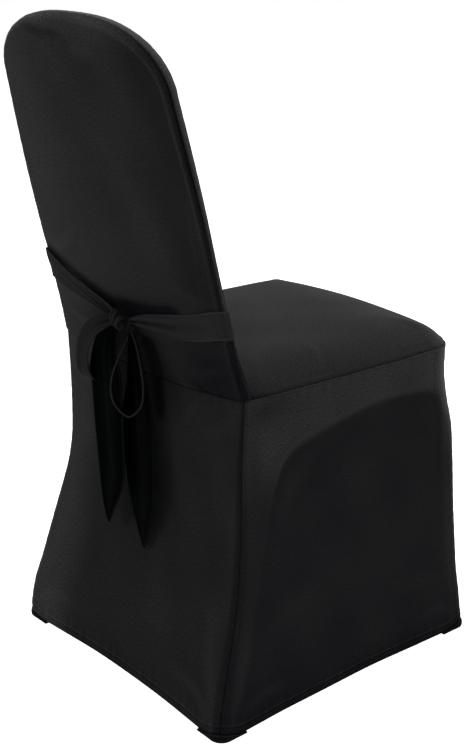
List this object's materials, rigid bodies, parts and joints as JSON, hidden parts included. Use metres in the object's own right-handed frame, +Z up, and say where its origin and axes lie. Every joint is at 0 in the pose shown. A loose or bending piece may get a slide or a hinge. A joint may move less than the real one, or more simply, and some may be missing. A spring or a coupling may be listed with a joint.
{
  "type": "banquet chair cover",
  "caption": "Fitted stretch cover for a stacking banquet chair, with a backrest pocket, open bottom, foot pockets and ties in a bow.",
  "frame": {"origin": "middle of the cover's whole outline in plan, on the floor under its foot pockets", "axes": "+Z up, the chair faces -Y, +X towards the sitter's left"},
  "size_m": [0.4932, 0.5583, 0.9429],
  "materials": {
    "cover_knit": "matte black stretch knit",
    "tie_knit": "matte black stretch knit, unstretched"
  },
  "bodies": {
    "root": {"back_rear_panel": "cover_knit", "back_front_panel": "cover_knit", "back_boxing": "cover_knit", "seat_panel": "cover_knit", "skirt_right": "cover_knit", "skirt_front": "cover_knit", "skirt_left": "cover_knit", "skirt_rear": "cover_knit", "foot_pocket_front_right": "cover_knit", "foot_pocket_front_left": "cover_knit", "foot_pocket_rear_left": "cover_knit", "foot_pocket_rear_right": "cover_knit", "tie_left": "tie_knit", "tie_right": "tie_knit"}
  },
  "joints": []
}
